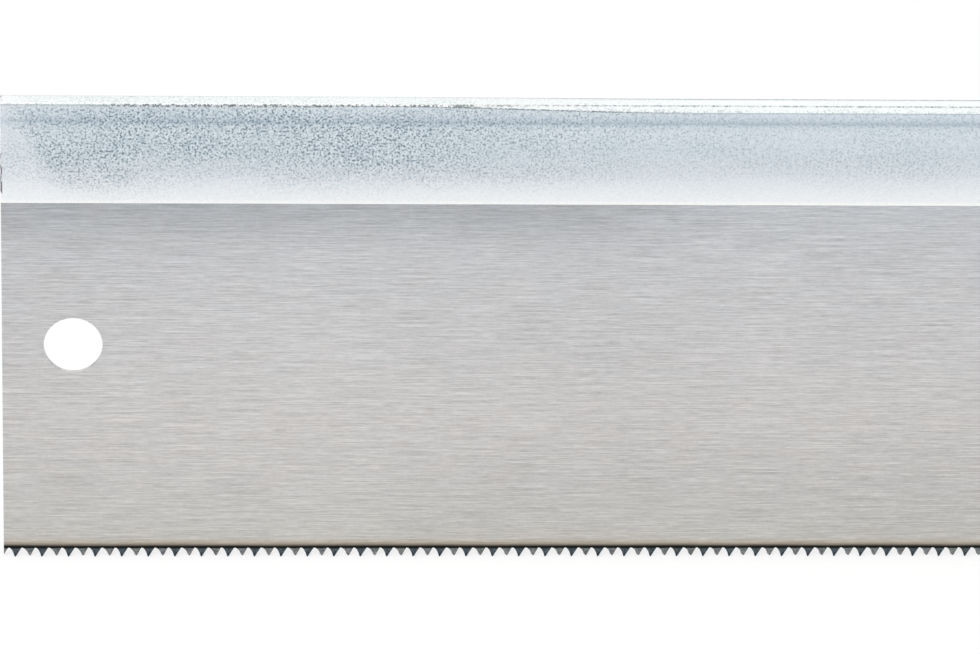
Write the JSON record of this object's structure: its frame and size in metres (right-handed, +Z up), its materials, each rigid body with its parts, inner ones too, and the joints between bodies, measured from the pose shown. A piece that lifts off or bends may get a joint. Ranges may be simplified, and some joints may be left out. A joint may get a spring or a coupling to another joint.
{
  "type": "back saw",
  "caption": "Back saw for fine carpentry: fine-toothed steel blade, folded steel back and a closed two-component handle.",
  "frame": {"origin": "middle of the saw's length and thickness, at the level of the tooth tips", "axes": "+X along the blade from the toe to the handle, +Y across the blade, +Z up from the teeth to the back"},
  "size_m": [0.412, 0.028, 0.1175],
  "materials": {
    "blade_steel": "fine lengthwise grinding marks, satin, blue-black hardened teeth",
    "zinc_steel": "bright zinc-coated sheet with a fine dark speckle",
    "handle_plastic": "fine moulded grain, matt",
    "grip_rubber": "soft-touch, matt, finely ribbed",
    "screw_steel": "nickel-plated, turned face"
  },
  "bodies": {
    "root": {"blade": "blade_steel", "back": "zinc_steel", "handle_core": "handle_plastic", "soft_grip": "grip_rubber", "screw_upper": "screw_steel", "screw_middle": "screw_steel", "screw_lower": "screw_steel", "nut_upper": "screw_steel", "nut_middle": "screw_steel", "nut_lower": "screw_steel"}
  },
  "joints": []
}
